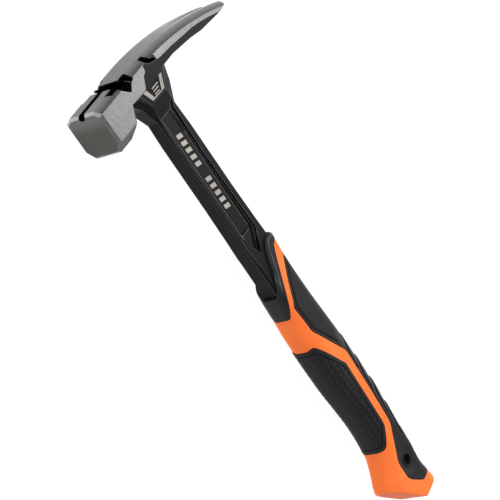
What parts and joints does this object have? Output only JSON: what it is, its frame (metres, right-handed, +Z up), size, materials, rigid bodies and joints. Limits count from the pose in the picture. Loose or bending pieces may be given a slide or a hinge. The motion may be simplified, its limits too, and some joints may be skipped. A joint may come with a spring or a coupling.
{
  "type": "claw hammer",
  "caption": "One-piece forged framing hammer with a square strike face, straight ripping claws, a nail-starting groove and an overmoulded grip with a tether hole.",
  "frame": {"origin": "middle of the hammer's box, on the flat it lies on, so the lower cheek of the head is at height 0", "axes": "+X along the handle towards the butt, +Y towards the claw tips, with the strike face facing -Y, and +Z up out of the upper cheek"},
  "size_m": [0.373, 0.151, 0.0318],
  "materials": {
    "forged_steel": "satin black coat over forged steel, ground bare and bright on the poll, the claws' sides and the strike face's bevel",
    "magnet": "plated disc, set below the groove's floor",
    "hard_core": "as moulded, hidden inside the grip",
    "collar_plastic": "fine satin grain",
    "orange_grip": "orange, satin, finely grained",
    "front_rubber": "black, matt, with moulded cells",
    "back_rubber": "black, matt, with moulded lobes",
    "bush_plastic": "smooth black liner of the tether hole"
  },
  "bodies": {
    "root": {"hammer_forging": "forged_steel", "nail_magnet": "magnet", "grip_core": "hard_core", "collar": "collar_plastic", "grip_body": "orange_grip", "front_pad": "front_rubber", "back_pad": "back_rubber", "tether_bush": "bush_plastic"}
  },
  "joints": []
}
